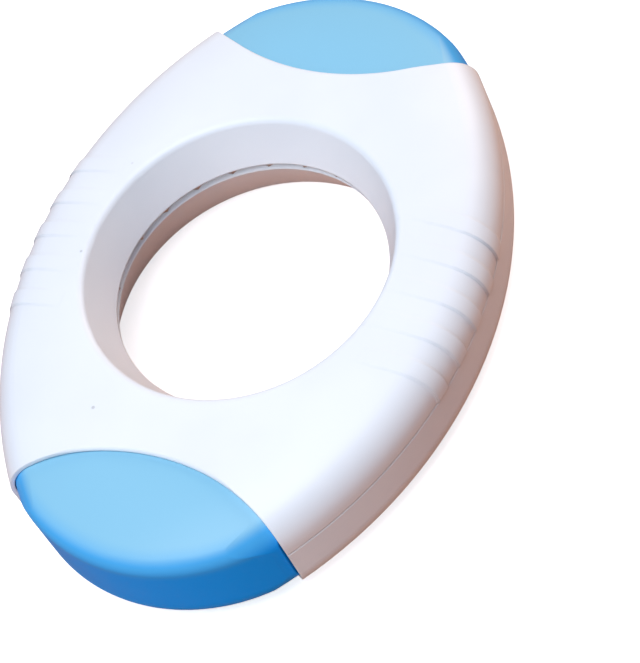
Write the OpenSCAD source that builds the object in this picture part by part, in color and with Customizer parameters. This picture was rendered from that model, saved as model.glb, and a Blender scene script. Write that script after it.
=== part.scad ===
// Egg topper: a flat oval hand tool with a round hole. The egg goes into the hole, and the two end
// buttons are squeezed together, so that a half ring of teeth moves in from each side and cracks
// the shell all the way round. The rear face lies on z = 0, the hole runs along z, and the
// buttons are at both ends of x.

/* [Body] */
// Length over both buttons
body_l = 100; // [99:0.5:102]
// Width across the grip sides, without the ribs
body_w = 72.4; // [72:0.2:74]
// Thickness from the rear face to the front face
body_t = 19; // [18.5:0.25:20]
// Place of the casing's four tips along the length
tip_x = 40.8; // [40.4:0.1:41.4]
// Place of the casing's four tips across the width
tip_y = 22.1; // [21.8:0.1:22.4]
// Place of the middle of the curved edge where the casing ends and a button starts
lip_x = 33.4; // [33.2:0.1:34]
// Wall of both shells
wall = 1.8; // [1.6:0.1:2]
// Thickness of the casing's lips over the buttons
lip_t = 0.7; // [0.6:0.1:0.9]
// Number of grip ribs on each side
ribs = 5; // [3:1:5]
// Distance between two grip ribs
rib_pitch = 6; // [5:0.5:6]
// Width of a grip rib
rib_w = 3; // [2:0.2:4]
// Height of a grip rib
rib_h = 0.25; // [0.1:0.05:0.3]

/* [Egg hole] */
// Radius of the hole at the front face
rim_r = 24; // [23.8:0.1:24.2]
// Radius of the narrowest place, where the teeth come out
neck_r = 21; // [20.8:0.1:21.2]
// Radius of the hole at the rear face
seat_r = 25.2; // [25:0.1:25.4]
// Depth of the slot for the teeth, below the front face
slot_depth = 7.8; // [7.6:0.1:8]
// Height of the slot
slot_h = 1; // [0.9:0.1:1.2]

/* [Blades] */
// Number of teeth on each blade
teeth = 11; // [9:2:11]
// Height of a tooth
tooth_h = 2.1; // [1.6:0.1:2.2]
// Thickness of the steel
blade_t = 0.5; // [0.4:0.1:0.5]
// Travel of a button
travel = 4; // [3:0.5:4]

/* [Springs] */
// Wire of the return springs
wire_d = 0.5; // [0.4:0.05:0.6]
// Radius of a return spring, to the middle of the wire
coil_r = 2.05; // [1.95:0.05:2.1]
// Number of curls in a return spring
curls = 7; // [5:1:8]

/* [Hidden] */
$fn = 96;

white = [0.93, 0.95, 0.98];
blue = [0.5, 0.78, 0.95];
steel = [0.72, 0.73, 0.75];
nylon = [0.86, 0.87, 0.86];
far = 200;
eps = 0.01;

// Plan of the casing: two side arcs that meet the button edges at the four tips
side_rise = body_w / 2 - tip_y;
side_r = (tip_x * tip_x + side_rise * side_rise) / (2 * side_rise);
side_c = side_r - body_w / 2;
lip_rise = tip_x - lip_x;
lip_r = (lip_rise * lip_rise + tip_y * tip_y) / (2 * lip_rise);
lip_c = lip_x + lip_r;

// Section of the casing's rim: a slow crown, a round front edge and a round rear edge
crown_start = 13;
crown_r = 32;
edge_r = 5.6;
rear_r = 5.5;

// Buttons
slide_gap = 0.15;
cap_in = lip_t + slide_gap;
cap_wall = 1.6;
cap_overlap = 2;
cap_half = 21.2;
end_rise = body_l / 2 - tip_x;
end_half = tip_y - cap_in - 0.1;
end_r = (end_rise * end_rise + end_half * end_half) / (2 * end_rise);
cap_crown_start = 14;
cap_crown_r = 45;
cap_edge_r = 2.5;
cap_rear_r = 4;

// Heights
part_z = body_t - slot_depth;
slot_top = part_z + slot_h / 2;
slot_low = part_z - slot_h / 2;
blade_z = part_z - blade_t / 2;
slider_t = 2.2;
slider_z = blade_z - slider_t;

// Sliders and what guides them
yoke_r = 28.8;
yoke_x = 18;
slider_half = 18;
tongue_root = 30;
tongue_half = 13;
tongue_x = 44;
arm_x = 31.8;
arm_t = 2;
arm_half = 24.2;
arm_h = 5.8;
screw_x = 33.5;
screw_y = 6;
pad_r = 2.2;
pad_h = 1.5;
rail_x = 22.6;
rail_l = 4.8;
rail_y = 14.6;
guide_gap = 0.25;
guide_t = 0.65;
holder_x = 24;
holder_w = 2.8;
stop_t = 1.2;
stop_w = 5;

// Blades
blade_r = 26.4;
blade_span = 171;
tab_x = 22;
tab_l = 15;
tab_half = 11;
blade_hole_r = 1.15;
blade_screw_r = 0.98;
blade_screw_l = 3.3;
blade_hole_h = 3.3;
blade_head_r = 1.9;
blade_head_h = 1.3;

// Return springs
spring_y = 21.6;
spring_z = part_z - 1.7;
spring_x0 = 21.8;
block_t = 1.6;
block_y = 19;
block_w = 5.4;
post_r = 1.25;
post_l = 3.7;
pin_l = arm_x - spring_x0 - post_l - travel - 0.2;
ring_steps = 8;
ring_sides = 6;

// Case screws
case_x = 17;
case_y = 25.5;
boss_r = 3.3;
head_r = 2.2;
head_h = 1.6;
head_seat = 2.8;
shank_r = 1.1;
shank_l = 12.4;
pilot_h = 4.4;
screw_room = 0.3;

// Half section of a disc with the casing's rim. inset shrinks it evenly on all sides.
module rim_section(reach, low, high, start, crown, edge, rear, inset) {
    crown_x = reach - start;
    crown_z = high - crown;
    edge_x = reach - edge;
    edge_z = crown_z + sqrt(pow(crown - edge, 2) - pow(edge_x - crown_x, 2));
    join_x = crown_x + (edge_x - crown_x) / (crown - edge) * (crown - inset);
    translate([0, low + inset])
        square([crown_x, high - low - 2 * inset]);
    intersection() {
        translate([crown_x, crown_z])
            circle(crown - inset, $fn = 4 * $fn);
        translate([crown_x - eps, low + rear])
            square([join_x - crown_x + eps, high]);
    }
    translate([edge_x, edge_z])
        circle(edge - inset);
    translate([0, low + rear])
        square([reach - inset, edge_z - low - rear]);
    translate([0, low + inset])
        square([reach - rear, edge_z - low - inset]);
    translate([reach - rear, low + rear])
        circle(rear - inset);
}

// One side of the casing is a slice of a large disc.
module side_disc(side, inset) {
    translate([0, -side * side_c, 0])
        rotate_extrude($fn = 2 * $fn)
            rim_section(side_r, 0, body_t, crown_start, crown_r, edge_r, rear_r, inset);
}

// The oval body between both side arcs
module oval_body(inset) {
    intersection() {
        side_disc(1, inset);
        side_disc(-1, inset);
    }
}

// Everything on a button's side of its curved edge, grown towards the hole
module button_side(end, grow) {
    translate([end * lip_c, 0, -1])
        cylinder(h = body_t + 2, r = lip_r + grow, $fn = 2 * $fn);
}

// The cut that leaves a lip. Flares at both faces round the lip's outer edge.
module button_cut() {
    round_r = 0.5;
    for (end = [-1, 1]) {
        button_side(end, 0);
        translate([end * lip_c, 0, 0])
            rotate_extrude($fn = 2 * $fn)
                for (face = [0, 1])
                    difference() {
                        translate([0, face * body_t - round_r])
                            square([lip_r + round_r, 2 * round_r]);
                        translate([lip_r + round_r, face * (body_t - 2 * round_r) + round_r])
                            circle(round_r);
                    }
    }
}

// Inside of a shell, with room at each end for a button to slide under the lips
module inner_space() {
    oval_body(wall);
    intersection() {
        oval_body(lip_t);
        union() {
            button_side(1, cap_overlap + travel + 0.3);
            button_side(-1, cap_overlap + travel + 0.3);
        }
    }
}

module four_times(x, y) {
    for (ex = [-1, 1], ny = [-1, 1])
        translate([ex * x, ny * y, 0])
            children();
}

module mirrored_four() {
    for (ex = [0, 1], ny = [0, 1])
        mirror([ex, 0, 0])
            mirror([0, ny, 0])
                children();
}

// Grip ribs stand out from both sides. They fade into the front face, because the disc that tops them
// is the side disc itself, moved outwards. Each has a low wide step and a higher narrow one.
module grip_ribs() {
    for (share = [0.5, 1], side = [-1, 1])
        intersection() {
            translate([0, side * rib_h * share, 0])
                side_disc(side, 0);
            for (i = [0 : ribs - 1])
                translate([(i - (ribs - 1) / 2) * rib_pitch, side * body_w / 2, body_t / 2])
                    cube([rib_w + 2 * rib_h * (1 - 2 * share), body_w / 3, body_t], center = true);
        }
}

// The hole in the front shell is a cone with a round front edge.
module front_hole() {
    lean = atan2(rim_r - neck_r, body_t - slot_top);
    round_r = 1.2;
    run = round_r * tan((90 - lean) / 2);
    rotate_extrude($fn = 2 * $fn) {
        polygon([
            [0, part_z - 2], [neck_r, part_z - 2], [neck_r, slot_top],
            [rim_r, body_t], [rim_r, body_t + 1], [0, body_t + 1]
        ]);
        difference() {
            polygon([
                [rim_r - run * sin(lean), body_t - run * cos(lean)],
                [rim_r + run, body_t], [rim_r + run, body_t + 1], [rim_r - 1, body_t + 1]
            ]);
            translate([rim_r + run, body_t - round_r])
                circle(round_r);
        }
    }
}

// The hole in the rear shell widens towards the rear, so that it seats the egg.
module rear_hole() {
    chamfer = 0.7;
    throat = neck_r + 0.3;
    rotate_extrude($fn = 2 * $fn)
        polygon([
            [0, -1], [seat_r + 0.8, -1], [seat_r + 0.8, 0], [seat_r, 0.8],
            [throat, slot_low - chamfer], [throat + chamfer, slot_low],
            [throat + chamfer, body_t], [0, body_t]
        ]);
}

module tube(low, low_r, high, high_r) {
    translate([0, 0, low])
        cylinder(h = high - low, r1 = low_r, r2 = high_r, $fn = 2 * $fn);
}

module front_shell() {
    color(white)
        difference() {
            union() {
                difference() {
                    intersection() {
                        union() {
                            oval_body(0);
                            grip_ribs();
                        }
                        translate([-far / 2, -far / 2, part_z])
                            cube([far, far, far]);
                    }
                    inner_space();
                }
                intersection() {
                    oval_body(lip_t / 2);
                    union() {
                        tube(slot_top, neck_r + wall, body_t, rim_r + wall);
                        four_times(case_x, case_y)
                            translate([0, 0, part_z])
                                cylinder(h = body_t, r = boss_r);
                        mirrored_four()
                            translate([holder_x, rail_y, part_z])
                                cube([rail_x + rail_l - holder_x, holder_w, body_t]);
                    }
                }
            }
            front_hole();
            button_cut();
            four_times(case_x, case_y)
                translate([0, 0, part_z - 1])
                    cylinder(h = pilot_h + 1, r = shank_r + 2 * eps);
        }
}

module rear_shell() {
    color(white)
        difference() {
            union() {
                difference() {
                    intersection() {
                        oval_body(0);
                        translate([-far / 2, -far / 2, part_z - far])
                            cube([far, far, far]);
                    }
                    inner_space();
                }
                intersection() {
                    oval_body(lip_t / 2);
                    rear_inside();
                }
            }
            rear_hole();
            button_cut();
            joint_chamfer();
            four_times(case_x, case_y) {
                translate([0, 0, -1])
                    cylinder(h = head_seat + 1, r = head_r + screw_room);
                cylinder(h = body_t, r = shank_r + screw_room);
            }
        }
    color(white)
        mirrored_four()
            translate([spring_x0 - eps, spring_y, spring_z])
                rotate([0, 90, 0])
                    cylinder(h = post_l + eps, r = post_r);
}

// Seat ring, screw posts, rails, spring walls and stops of the rear shell
module rear_inside() {
    tube(0, seat_r + wall, slot_low, neck_r + 2.6);
    four_times(case_x, case_y)
        cylinder(h = part_z, r = boss_r);
    mirrored_four() {
        translate([rail_x, rail_y, 0])
            cube([rail_l, slider_half + guide_gap + guide_t - rail_y, slider_z - slide_gap]);
        translate([rail_x, slider_half + guide_gap, 0])
            cube([rail_l, guide_t, slot_low]);
        translate([spring_x0 - block_t, block_y, 0])
            cube([block_t, block_w, part_z]);
        translate([arm_x + arm_t + slide_gap, cap_half + 2 * slide_gap, 0])
            cube([stop_t, stop_w, slider_z]);
    }
}

// A chamfer on the rear shell's edge, which shows as a fine line round the casing where the shells meet
module joint_chamfer() {
    chamfer = 0.3;
    difference() {
        translate([-far / 2, -far / 2, part_z - chamfer])
            cube([far, far, 1]);
        intersection_for(side = [-1, 1])
            translate([0, side * side_c, part_z - chamfer - eps])
                cylinder(h = 2, r1 = side_r + eps, r2 = side_r + eps - 2, $fn = 2 * $fn);
    }
}

// A crosshead screw that stands on its tip, with the underside of its head at z = 0
module screw(radius, length, cap_r, cap_h) {
    slot_w = cap_r * 0.28;
    difference() {
        union() {
            translate([0, 0, -length])
                cylinder(h = length + eps, r = radius);
            cylinder(h = cap_h, r = cap_r);
        }
        for (turn = [0, 90])
            rotate([0, 0, turn])
                translate([-cap_r * 0.62, -slot_w / 2, cap_h / 2])
                    cube([cap_r * 1.24, slot_w, cap_h]);
    }
}

module case_screws() {
    color(steel)
        four_times(case_x, case_y)
            translate([0, 0, head_seat])
                rotate([180, 0, 0])
                    screw(shank_r, shank_l, head_r, head_h);
}

// Outer form of a button: the casing's own form, set in, and closed by the end arc
module button_form(inset) {
    intersection() {
        oval_body(cap_in + inset);
        translate([body_l / 2 - end_r, 0, 0])
            rotate_extrude()
                rim_section(end_r, cap_in, body_t - cap_in, cap_crown_start, cap_crown_r,
                            cap_edge_r, cap_rear_r, inset);
    }
}

// A button is a hollow cap, open towards the hole, with two ribs that grip the slider's tongue.
module button() {
    rib_x = 38;
    rib_y = 9;
    color(blue)
        intersection() {
            difference() {
                button_form(0);
                difference() {
                    button_form(cap_wall);
                    for (side = [-1, 1])
                        translate([rib_x, side * rib_y - 0.7, 0])
                            cube([tongue_x + 2 - rib_x, 1.4, body_t]);
                }
                translate([0, -tongue_half, slider_z])
                    cube([tongue_x, 2 * tongue_half, slider_t]);
            }
            button_side(1, cap_overlap);
            translate([0, -cap_half, 0])
                cube([far, 2 * cap_half, body_t]);
        }
}

// The slider carries the blade and has two arms that the springs push outwards.
module slider() {
    color(nylon)
        difference() {
            union() {
                translate([0, 0, slider_z])
                    linear_extrude(slider_t)
                        difference() {
                            union() {
                                translate([yoke_x, -slider_half])
                                    square([yoke_x, 2 * slider_half]);
                                translate([tongue_root, -tongue_half])
                                    square([tongue_x - tongue_root, 2 * tongue_half]);
                            }
                            circle(yoke_r, $fn = 2 * $fn);
                        }
                for (side = [-1, 1]) {
                    translate([arm_x, side > 0 ? slider_half - 1 : -arm_half, spring_z - arm_h / 2])
                        cube([arm_t, arm_half - slider_half + 1, arm_h]);
                    translate([arm_x - pin_l, side * spring_y, spring_z])
                        rotate([0, 90, 0])
                            cylinder(h = pin_l + 1, r = post_r);
                    translate([screw_x, side * screw_y, slider_z - pad_h])
                        cylinder(h = pad_h + 1, r = pad_r);
                }
            }
            for (side = [-1, 1])
                translate([screw_x, side * screw_y, slider_z + slider_t - blade_hole_h])
                    cylinder(h = far, r = blade_screw_r + 2 * eps);
        }
}

// Toothed inner edge of a blade: a star, cut out of the half ring
function star(count, pitch, tip, root) = [
    for (i = [-count : count])
        (i % 2 == 0 ? tip : root) * [cos(i * pitch / 2), sin(i * pitch / 2)]
];

module blade() {
    pitch = blade_span / teeth;
    tip = neck_r + 0.15;
    end_x = travel + 0.3;
    color(steel)
        translate([0, 0, blade_z])
            linear_extrude(blade_t)
                difference() {
                    union() {
                        intersection() {
                            circle(blade_r, $fn = 2 * $fn);
                            translate([end_x, -far / 2])
                                square([far, far]);
                        }
                        translate([tab_x, -tab_half])
                            square([tab_l, 2 * tab_half]);
                    }
                    polygon(concat([[-1, 0]], star(teeth, pitch, tip, tip + tooth_h), [[-1, 0]]));
                    for (side = [-1, 1])
                        translate([screw_x, side * screw_y])
                            circle(blade_hole_r);
                }
}

module blade_screws() {
    color(steel)
        for (side = [-1, 1])
            translate([screw_x, side * screw_y, blade_z + blade_t])
                screw(blade_screw_r, blade_screw_l, blade_head_r, blade_head_h);
}

// A return spring is one round wire along a helix whose axis is x.
function coil_point(a) = [
    wire_d / 2 + a / 360 * (arm_x - spring_x0 - wire_d) / curls, coil_r * cos(a), coil_r * sin(a)
];
function coil_out(a) = [0, cos(a), sin(a)];
function coil_along(a) = let (d = coil_point(a + 1) - coil_point(a - 1)) d / norm(d);
function coil_ring(a) = [
    for (k = [0 : ring_sides - 1])
        coil_point(a) + wire_d / 2 * (
            cos(k * 360 / ring_sides) * coil_out(a) +
            sin(k * 360 / ring_sides) * cross(coil_along(a), coil_out(a)))
];
coil_rings = curls * ring_steps;
coil_angles = [for (i = [0 : coil_rings]) i * 360 / ring_steps];
coil_gap = min([
    for (a = coil_angles, b = coil_angles)
        if (b - a >= 180) norm(coil_point(b) - coil_point(a)) - wire_d
]);
echo(str("least gap of a spring to itself, mm: ", coil_gap));

module spring() {
    last = coil_rings * ring_sides;
    color(steel)
        translate([spring_x0, spring_y, spring_z])
            polyhedron(
                points = [for (a = coil_angles) each coil_ring(a)],
                faces = concat(
                    [for (k = [1 : ring_sides - 2]) [0, k, k + 1]],
                    [for (k = [1 : ring_sides - 2]) [last, last + k + 1, last + k]],
                    [
                        for (i = [0 : coil_rings - 1], k = [0 : ring_sides - 1])
                            let (a = i * ring_sides + k, b = i * ring_sides + (k + 1) % ring_sides)
                            [a, a + ring_sides, b]
                    ],
                    [
                        for (i = [0 : coil_rings - 1], k = [0 : ring_sides - 1])
                            let (a = i * ring_sides + k, b = i * ring_sides + (k + 1) % ring_sides)
                            [b, a + ring_sides, b + ring_sides]
                    ]
                )
            );
}

module west() {
    mirror([1, 0, 0])
        children();
}

module south() {
    mirror([0, 1, 0])
        children();
}

front_shell();
rear_shell();
case_screws();
button();  // button_east
slider();  // slider_east
blade();  // blade_east
blade_screws();  // blade_screws_east
west() button();  // button_west
west() slider();  // slider_west
west() blade();  // blade_west
west() blade_screws();  // blade_screws_west
spring();  // spring_north_east
south() spring();  // spring_south_east
west() spring();  // spring_north_west
west() south() spring();  // spring_south_west
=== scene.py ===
import math

import bpy
import numpy as np
from mathutils import Matrix, Vector


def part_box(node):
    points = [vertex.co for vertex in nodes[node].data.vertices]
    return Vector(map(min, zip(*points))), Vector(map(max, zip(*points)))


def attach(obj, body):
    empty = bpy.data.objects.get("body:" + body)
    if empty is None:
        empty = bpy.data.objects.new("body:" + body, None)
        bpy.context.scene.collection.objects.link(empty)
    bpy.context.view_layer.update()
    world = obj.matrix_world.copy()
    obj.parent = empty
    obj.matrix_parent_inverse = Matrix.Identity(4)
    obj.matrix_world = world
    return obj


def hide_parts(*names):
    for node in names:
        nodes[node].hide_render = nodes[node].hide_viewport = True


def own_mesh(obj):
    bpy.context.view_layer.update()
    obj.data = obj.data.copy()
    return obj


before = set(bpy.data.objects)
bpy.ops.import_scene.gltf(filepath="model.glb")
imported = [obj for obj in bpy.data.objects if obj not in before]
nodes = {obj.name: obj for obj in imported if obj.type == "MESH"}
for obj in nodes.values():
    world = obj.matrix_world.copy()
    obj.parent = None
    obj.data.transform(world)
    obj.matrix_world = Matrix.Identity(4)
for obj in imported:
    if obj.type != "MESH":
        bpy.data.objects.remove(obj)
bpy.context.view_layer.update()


# Camera. It looks at the tool from in front of its east button and to one side of it, from well
# above, and is rolled, so that the far button is at the top and the near one at the lower left.
PICTURE = (640, 663)
FOCAL_PX = 2810.0
SENSOR = 36.0
NEAREST_SEEN = 0.01
LOOK_AT = Vector((0.00565, 0.01324, 0.0110))
CAMERA_DISTANCE = 0.405
CAMERA_AZIMUTH = math.radians(45.65)
CAMERA_ELEVATION = math.radians(53.5)
CAMERA_ROLL = math.radians(-29.2)

towards_camera = Vector((
    math.cos(CAMERA_AZIMUTH) * math.cos(CAMERA_ELEVATION),
    math.sin(CAMERA_AZIMUTH) * math.cos(CAMERA_ELEVATION),
    math.sin(CAMERA_ELEVATION),
))
camera_data = bpy.data.cameras.new("camera")
camera_data.sensor_width = SENSOR
camera_data.lens = FOCAL_PX / max(PICTURE) * SENSOR
camera_data.clip_start = NEAREST_SEEN
camera = bpy.data.objects.new("camera", camera_data)
bpy.context.scene.collection.objects.link(camera)
level = towards_camera.to_track_quat("Z", "Y").to_matrix().to_4x4()
camera.matrix_world = (
    Matrix.Translation(LOOK_AT + towards_camera * CAMERA_DISTANCE)
    @ level
    @ Matrix.Rotation(CAMERA_ROLL, 4, "Z")
)
bpy.context.scene.camera = camera


# Casing. The real casing is two injection moulded shells of white ABS, which meet on a fine
# chamfered line and are held by four screws from behind. The mould's spark-eroded grain leaves
# the plastic satin, with a few grey specks in it.
PLAIN_DETAIL = 2.0
FINE_DETAIL = 3.0
BEVEL_SAMPLES = 8
MIX_FIRST, MIX_SECOND, MIX_RESULT = 6, 7, 2  # the Mix node's colour sockets share names with others


class Value:
    """A socket of a finish. Sums, differences and products add the Math nodes they need."""

    def __init__(self, finish, socket):
        self.finish = finish
        self.socket = socket

    def math(self, operation, first, second):
        return self.finish.node("ShaderNodeMath", {"operation": operation}, {0: first, 1: second})

    def __add__(self, other):
        return self.math("ADD", self, other)

    __radd__ = __add__

    def __sub__(self, other):
        return self.math("SUBTRACT", self, other)

    def __rsub__(self, other):
        return self.math("SUBTRACT", other, self)

    def __mul__(self, other):
        return self.math("MULTIPLY", self, other)

    __rmul__ = __mul__


class Finish:
    """One material. Every node comes from node(), which sets the settings before the sockets."""

    def __init__(self, name, **shader_values):
        self.material = bpy.data.materials.new(name)
        self.material.use_nodes = True
        self.tree = self.material.node_tree
        self.shader = self.tree.nodes["Principled BSDF"]
        for socket, value in shader_values.items():
            self.shader.inputs[socket.replace("_", " ")].default_value = value
        self.place = self.node("ShaderNodeTexCoord", out="Object")

    def node(self, kind, settings=(), sockets=(), out=0):
        made = self.tree.nodes.new(kind)
        for name, value in dict(settings).items():
            setattr(made, name, value)
        for name, value in dict(sockets).items():
            if isinstance(value, Value):
                self.tree.links.new(value.socket, made.inputs[name])
            else:
                made.inputs[name].default_value = value
        return Value(self, made.outputs[out])

    def noise(self, grain_size, detail=PLAIN_DETAIL, stretch=None):
        place = self.place
        if stretch:
            place = self.node("ShaderNodeMapping", sockets={0: place, "Scale": stretch})
        return self.node(
            "ShaderNodeTexNoise",
            {"noise_dimensions": "3D"},
            {"Vector": place, "Scale": 1.0 / grain_size, "Detail": detail},
        )

    def fade(self, value, low, high):
        return self.node(
            "ShaderNodeMapRange",
            {"interpolation_type": "SMOOTHSTEP"},
            {"Value": value, "From Min": low, "From Max": high},
        )

    def mix(self, share, first, second):
        colours = {
            MIX_FIRST: first if isinstance(first, Value) else (*first, 1.0),
            MIX_SECOND: second if isinstance(second, Value) else (*second, 1.0),
        }
        return self.node(
            "ShaderNodeMix", {"data_type": "RGBA"}, {0: share, **colours}, out=MIX_RESULT,
        )

    def height(self):
        return self.node("ShaderNodeSeparateXYZ", sockets={0: self.place}, out="Z")

    def rounded(self, radius):
        return self.node("ShaderNodeBevel", {"samples": BEVEL_SAMPLES}, {"Radius": radius})

    def bump(self, height, depth, normal=None):
        sockets = {"Height": height, "Distance": depth, "Strength": 1.0}
        if normal:
            sockets["Normal"] = normal
        return self.node("ShaderNodeBump", sockets=sockets)

    def feed(self, **links):
        for socket, value in links.items():
            self.tree.links.new(value.socket, self.shader.inputs[socket.replace("_", " ")])
        return self.material


def dress(material, *names):
    for name in names:
        mesh = nodes[name].data
        mesh.materials.clear()
        mesh.materials.append(material)
        mesh.polygons.foreach_set("material_index", np.zeros(len(mesh.polygons), np.int32))


CASING_WHITE = (0.86, 0.90, 0.95)
CASING_SHADE = (0.83, 0.87, 0.925)
CASING_SATIN = 0.34
CASING_CLOUD_DULLS = 0.10
CASING_GRAIN_DULLS = 0.06
CLOUD_SIZE = 0.016
CLOUD_THIN, CLOUD_THICK = 0.3, 0.7
GRAIN_SIZE = 0.0006
GRAIN_DEPTH = 0.000006
SPECK_GREY = (0.42, 0.42, 0.44)
SPECK_SPACING = 0.0065
SPECK_CORE, SPECK_RIM = 0.030, 0.055
SPECKS_FROM, SPECKS_FULL = 0.52, 0.6
SPECK_STRENGTH = 0.55
SOFT_EDGE = 0.0003
casing = Finish("casing_white", IOR=1.5, Specular_IOR_Level=0.45)
grain = casing.noise(GRAIN_SIZE, FINE_DETAIL)
cloud = casing.noise(CLOUD_SIZE)
speck_cells = casing.node(
    "ShaderNodeTexVoronoi", {"feature": "F1"}, {"Vector": casing.place, "Scale": 1 / SPECK_SPACING},
)
in_cell = 1 - casing.fade(speck_cells, SPECK_CORE, SPECK_RIM)
speck = in_cell * casing.fade(cloud, SPECKS_FROM, SPECKS_FULL)
plastic = casing.mix(casing.fade(cloud, CLOUD_THIN, CLOUD_THICK), CASING_WHITE, CASING_SHADE)
dress(
    casing.feed(
        Base_Color=casing.mix(speck * SPECK_STRENGTH, plastic, SPECK_GREY),
        Roughness=CASING_SATIN + CASING_CLOUD_DULLS * cloud + CASING_GRAIN_DULLS * grain,
        Normal=casing.bump(grain, GRAIN_DEPTH, casing.rounded(SOFT_EDGE)),
    ),
    "front_shell", "rear_shell",
)

# Buttons. Each end has a light blue ABS cap, moulded in one piece with satin faces, and it snaps
# onto its slider's tongue. Its colour is painted by height: painted light on the two flat faces,
# painted half shade on the rolled edges and painted deep shade on the sides.
# Lit and shaded copies of one blue: painted light on the faces, painted half shade on the rolls,
# painted shade on the sides.
FACE_BLUE_PAINTED_LIGHT = (0.262, 0.58, 0.78)
ROLL_BLUE_PAINTED_HALF_SHADE = (0.07, 0.42, 0.85)
SIDE_BLUE_PAINTED_SHADE = (0.001, 0.34, 1.0)
SIDE_TOP = 0.0128
ROLL_TOP = 0.0158
FACE_EDGE = 0.0171
REAR_EDGE = 0.0010
REAR_ROLL = 0.0018
REAR_SIDE = 0.0030
BUTTON_SATIN = 0.34
BUTTON_CLOUD_DULLS = 0.08
BUTTON_GRAIN_DULLS = 0.05
BUTTON_GRAIN = 0.0005
BUTTON_CLOUD = 0.012
EDGE_WAVER = 0.0003
FACE_COAT = 0.3
buttons = Finish("button_blue", IOR=1.5, Specular_IOR_Level=0.08, Coat_Roughness=0.28)
grain = buttons.noise(BUTTON_GRAIN, FINE_DETAIL)
cloud = buttons.noise(BUTTON_CLOUD)
height = buttons.height() + EDGE_WAVER * cloud
# Height masks that put the painted light on the two faces and the painted shade on the sides.
above_rear_side = buttons.fade(height, REAR_ROLL, REAR_SIDE)
above_rear_face = buttons.fade(height, REAR_EDGE, REAR_ROLL)
off_painted_side_shade = buttons.fade(height, SIDE_TOP, ROLL_TOP) + (1 - above_rear_side)
painted_light_face_share = buttons.fade(height, ROLL_TOP, FACE_EDGE) + (1 - above_rear_face)
dress(
    # Base colour: painted shade on the sides, blending through the rolls into painted light on the
    # faces.
    buttons.feed(
        Base_Color=buttons.mix(
            off_painted_side_shade, SIDE_BLUE_PAINTED_SHADE, buttons.mix(painted_light_face_share, ROLL_BLUE_PAINTED_HALF_SHADE, FACE_BLUE_PAINTED_LIGHT),
        ),
        Roughness=BUTTON_SATIN + BUTTON_CLOUD_DULLS * cloud + BUTTON_GRAIN_DULLS * grain,
        Coat_Weight=FACE_COAT * painted_light_face_share,
        Normal=buttons.bump(grain, GRAIN_DEPTH, buttons.rounded(SOFT_EDGE)),
    ),
    "button_east", "button_west",
)

# Sliders. Under each button an acetal frame runs in the casing's guides. It is moulded in natural,
# slightly yellow plastic, waxy to the touch, and gets long drag marks where it runs.
ACETAL_LIGHT = (0.80, 0.80, 0.76)
ACETAL_DARK = (0.74, 0.74, 0.69)
SLIDER_SATIN = 0.34
DRAG_DULLS = 0.22
DRAG_WIDTH = 0.0006
DRAG_DEPTH = 0.000008
ALONG_TRAVEL = (0.06, 1.0, 1.0)
YELLOWING_SIZE = 0.008
SLIDER_EDGE = 0.0002
sliders = Finish("slider_acetal", IOR=1.48, Subsurface_Weight=0.1, Subsurface_Scale=0.002)
drag = sliders.noise(DRAG_WIDTH, PLAIN_DETAIL, ALONG_TRAVEL)
yellowing = sliders.noise(YELLOWING_SIZE)
dress(
    sliders.feed(
        Base_Color=sliders.mix(yellowing, ACETAL_LIGHT, ACETAL_DARK),
        Roughness=SLIDER_SATIN + DRAG_DULLS * drag,
        Normal=sliders.bump(drag, DRAG_DEPTH, sliders.rounded(SLIDER_EDGE)),
    ),
    "slider_east", "slider_west",
)

# Blades. Each slider carries a toothed half ring, stamped from thin stainless sheet that was
# brushed along its length, and faintly stained by use since.
STEEL_BRIGHT = (0.52, 0.52, 0.53)
STEEL_STAINED = (0.42, 0.425, 0.44)
STAIN_SIZE = 0.006
BLADE_SHINE = 0.20
BRUSH_DULLS = 0.25
BRUSH_WIDTH = 0.0004
BRUSH_DEPTH = 0.000004
ALONG_SHEET = (0.04, 1.0, 1.0)
METAL_EDGE = 0.0001
blades = Finish("blade_steel", Metallic=1.0)
brushed = blades.noise(BRUSH_WIDTH, FINE_DETAIL, ALONG_SHEET)
stain = blades.noise(STAIN_SIZE)
dress(
    blades.feed(
        Base_Color=blades.mix(stain, STEEL_BRIGHT, STEEL_STAINED),
        Roughness=BLADE_SHINE + BRUSH_DULLS * brushed,
        Normal=blades.bump(brushed, BRUSH_DEPTH, blades.rounded(METAL_EDGE)),
    ),
    "blade_east", "blade_west",
)

# Screws. Small zinc plated steel screws, four through the rear shell into the front one and two
# through each blade into its slider. The heads are cold formed and faintly marked.
ZINC_BRIGHT = (0.70, 0.71, 0.74)
ZINC_DULL = (0.56, 0.57, 0.61)
ZINC_SHINE = 0.22
MARK_DULLS = 0.2
MARK_SIZE = 0.00025
MARK_DEPTH = 0.000004
screws = Finish("screw_zinc", Metallic=1.0)
marks = screws.noise(MARK_SIZE)
dress(
    screws.feed(
        Base_Color=screws.mix(marks, ZINC_BRIGHT, ZINC_DULL),
        Roughness=ZINC_SHINE + MARK_DULLS * marks,
        Normal=screws.bump(marks, MARK_DEPTH, screws.rounded(METAL_EDGE)),
    ),
    "case_screws", "blade_screws_east", "blade_screws_west",
)

# Return springs. Four open helices of drawn stainless wire. Each sits against a post of the rear
# shell, and an arm of its slider squeezes it when the button is pushed.
WIRE = 0.0005
CURLS = 7.0
RINGS_PER_CURL = 40
WIRE_SIDES = 14
WIRE_BRIGHT = (0.60, 0.60, 0.62)
WIRE_DULL = (0.48, 0.48, 0.50)
WIRE_SHINE = 0.25
DRAWING_DULLS = 0.2
DRAWING_SIZE = 0.0002
DRAWING_DEPTH = 0.000003
springs = Finish("spring_wire", Metallic=1.0)
drawn = springs.noise(DRAWING_SIZE)
springs.feed(
    Base_Color=springs.mix(drawn, WIRE_BRIGHT, WIRE_DULL),
    Roughness=WIRE_SHINE + DRAWING_DULLS * drawn,
    Normal=springs.bump(drawn, DRAWING_DEPTH),
)


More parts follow.
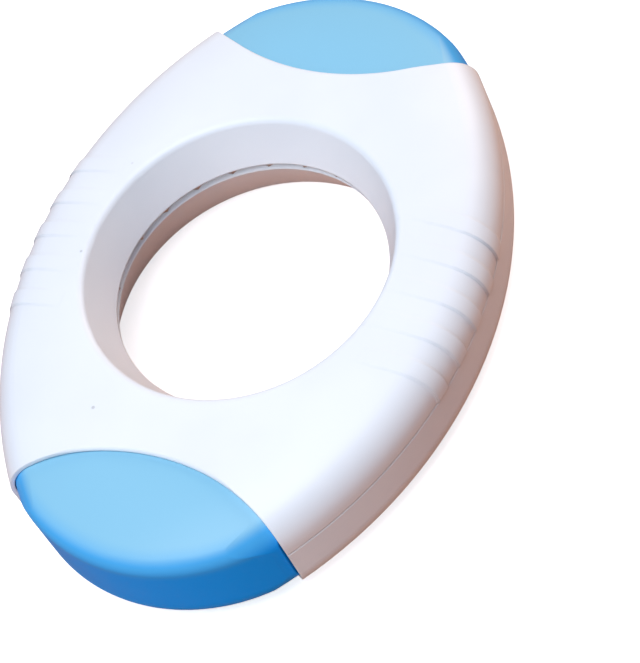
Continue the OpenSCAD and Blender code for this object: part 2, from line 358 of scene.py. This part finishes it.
def spring_tree():
    tree = bpy.data.node_groups.new("return_spring", "GeometryNodeTree")
    for name, kind in (
        ("Length", "NodeSocketFloat"), ("Radius", "NodeSocketFloat"), ("Wire", "NodeSocketFloat"),
        ("Curls", "NodeSocketFloat"), ("Finish", "NodeSocketMaterial"),
    ):
        tree.interface.new_socket(name, in_out="INPUT", socket_type=kind)
    tree.interface.new_socket("Geometry", in_out="OUTPUT", socket_type="NodeSocketGeometry")
    made = {
        name: tree.nodes.new(kind)
        for name, kind in (
            ("given", "NodeGroupInput"), ("helix", "GeometryNodeCurveSpiral"),
            ("section", "GeometryNodeCurvePrimitiveCircle"), ("half", "ShaderNodeMath"),
            ("sweep", "GeometryNodeCurveToMesh"), ("smooth", "GeometryNodeSetShadeSmooth"),
            ("real", "GeometryNodeRealizeInstances"), ("paint", "GeometryNodeSetMaterial"),
            ("result", "NodeGroupOutput"),
        )
    }
    made["helix"].inputs["Resolution"].default_value = RINGS_PER_CURL
    made["section"].inputs["Resolution"].default_value = WIRE_SIDES
    made["half"].operation = "MULTIPLY"
    made["half"].inputs[1].default_value = 0.5
    made["sweep"].inputs["Fill Caps"].default_value = True
    for start, out, end, into in (
        ("given", "Length", "helix", "Height"), ("given", "Radius", "helix", "Start Radius"),
        ("given", "Radius", "helix", "End Radius"), ("given", "Curls", "helix", "Rotations"),
        ("given", "Wire", "half", 0), ("half", 0, "section", "Radius"),
        ("helix", "Curve", "sweep", "Curve"), ("section", "Curve", "sweep", "Profile Curve"),
        ("sweep", "Mesh", "smooth", "Geometry"), ("smooth", "Geometry", "real", "Geometry"),
        ("real", "Geometry", "paint", "Geometry"), ("given", "Finish", "paint", "Material"),
        ("paint", "Geometry", "result", "Geometry"),
    ):
        tree.links.new(made[start].outputs[out], made[end].inputs[into])
    return tree


def grown(tree, name, values):
    carrier = bpy.data.objects.new(name + "_carrier", bpy.data.meshes.new(name + "_carrier"))
    bpy.context.scene.collection.objects.link(carrier)
    modifier = carrier.modifiers.new("grow", "NODES")
    modifier.node_group = tree
    for item in tree.interface.items_tree:
        if item.name in values:
            modifier[item.identifier] = values[item.name]
    shape = bpy.data.meshes.new_from_object(
        carrier.evaluated_get(bpy.context.evaluated_depsgraph_get())
    )
    bpy.data.objects.remove(carrier)
    piece = bpy.data.objects.new(name, shape)
    bpy.context.scene.collection.objects.link(piece)
    return piece


spring_nodes = spring_tree()
for side in ("north", "south"):
    for end in ("east", "west"):
        node = f"spring_{side}_{end}"
        low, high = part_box(node)
        spring = grown(spring_nodes, "wire_" + node, {
            "Length": high.x - low.x - WIRE, "Radius": (high.z - low.z - WIRE) / 2,
            "Wire": WIRE, "Curls": CURLS, "Finish": springs.material,
        })
        outwards = 1 if end == "east" else -1
        foot = low.x if end == "east" else high.x
        first_ring = Vector((
            foot + outwards * WIRE / 2, (low.y + high.y) / 2, (low.z + high.z) / 2,
        ))
        spring.data.transform(
            Matrix.Translation(first_ring) @ Matrix.Rotation(outwards * math.pi / 2, 4, "Y")
        )
        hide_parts(node)
        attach(spring, "casing")
        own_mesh(spring)

# Floor. A wide pale sheet, a tenth of a millimetre under the tool so that the two don't share a
# plane. The camera sees it almost white. What it throws back at the sides is warm, as from wood.
FLOOR_HALF = 3.0
FLOOR_DROP = 0.0001
FLOOR_SEEN = (0.95, 0.95, 0.96)
FLOOR_BOUNCE = (0.55, 0.255, 0.145)
FLOOR_GLOW = 0.7
FLOOR_CORNERS = ((-1, -1), (1, -1), (1, 1), (-1, 1))
BLACK = (0.0, 0.0, 0.0)
floor_mesh = bpy.data.meshes.new("floor")
floor_mesh.from_pydata(
    [(x * FLOOR_HALF, y * FLOOR_HALF, -FLOOR_DROP) for x, y in FLOOR_CORNERS],
    [], [(0, 1, 2, 3)],
)
floor = bpy.data.objects.new("floor", floor_mesh)
bpy.context.scene.collection.objects.link(floor)
ground = Finish("floor_pale", Roughness=0.9, Emission_Strength=FLOOR_GLOW)
seen = ground.node("ShaderNodeLightPath", out="Is Camera Ray")
floor_mesh.materials.append(ground.feed(
    Base_Color=ground.mix(seen, FLOOR_BOUNCE, FLOOR_SEEN),
    Emission_Color=ground.mix(seen, BLACK, FLOOR_SEEN),
))

# Light. One big soft lamp stands almost overhead and gives most of it. A low one in front of the
# east button lights that end, a warm one behind the west button the far side of the hole, and a
# dim room fills the rest from above.
ROOM_COLOUR = (0.56, 0.76, 1.0)
ROOM_DARK_BELOW, ROOM_FULL_ABOVE = 0.05, 0.6
ROOM_STRENGTH = 0.32
room = bpy.data.worlds.new("room")
bpy.context.scene.world = room
room.use_nodes = True
air = room.node_tree
towards = air.nodes.new("ShaderNodeTexCoord")
upwards = air.nodes.new("ShaderNodeSeparateXYZ")
shade = air.nodes.new("ShaderNodeValToRGB")
shade.color_ramp.elements[0].position = ROOM_DARK_BELOW
shade.color_ramp.elements[0].color = (*BLACK, 1.0)
shade.color_ramp.elements[1].position = ROOM_FULL_ABOVE
shade.color_ramp.elements[1].color = (*ROOM_COLOUR, 1.0)
air.links.new(towards.outputs["Generated"], upwards.inputs[0])
air.links.new(upwards.outputs["Z"], shade.inputs[0])
air.links.new(shade.outputs[0], air.nodes["Background"].inputs["Color"])
air.nodes["Background"].inputs["Strength"].default_value = ROOM_STRENGTH

LAMP_DISTANCE = 0.9


def soft_lamp(name, azimuth, elevation, width, watts, colour):
    azimuth, elevation = math.radians(azimuth), math.radians(elevation)
    towards_lamp = Vector((
        math.cos(azimuth) * math.cos(elevation), math.sin(azimuth) * math.cos(elevation),
        math.sin(elevation),
    ))
    lamp = bpy.data.lights.new(name, "AREA")
    lamp.size = width
    lamp.energy = watts
    lamp.color = colour
    holder = bpy.data.objects.new(name, lamp)
    bpy.context.scene.collection.objects.link(holder)
    holder.matrix_world = (
        Matrix.Translation(towards_lamp * LAMP_DISTANCE)
        @ towards_lamp.to_track_quat("Z", "Y").to_matrix().to_4x4()
    )


soft_lamp(
    "overhead_lamp", azimuth=-10, elevation=76, width=0.6, watts=6.3, colour=(0.94, 0.94, 1.0),
)
soft_lamp("east_lamp", azimuth=0, elevation=25, width=0.5, watts=2.0, colour=(0.90, 0.95, 1.0))
soft_lamp("west_lamp", azimuth=170, elevation=25, width=0.5, watts=4.3, colour=(1.0, 0.78, 0.64))

bpy.context.scene.view_settings.view_transform = "Standard"
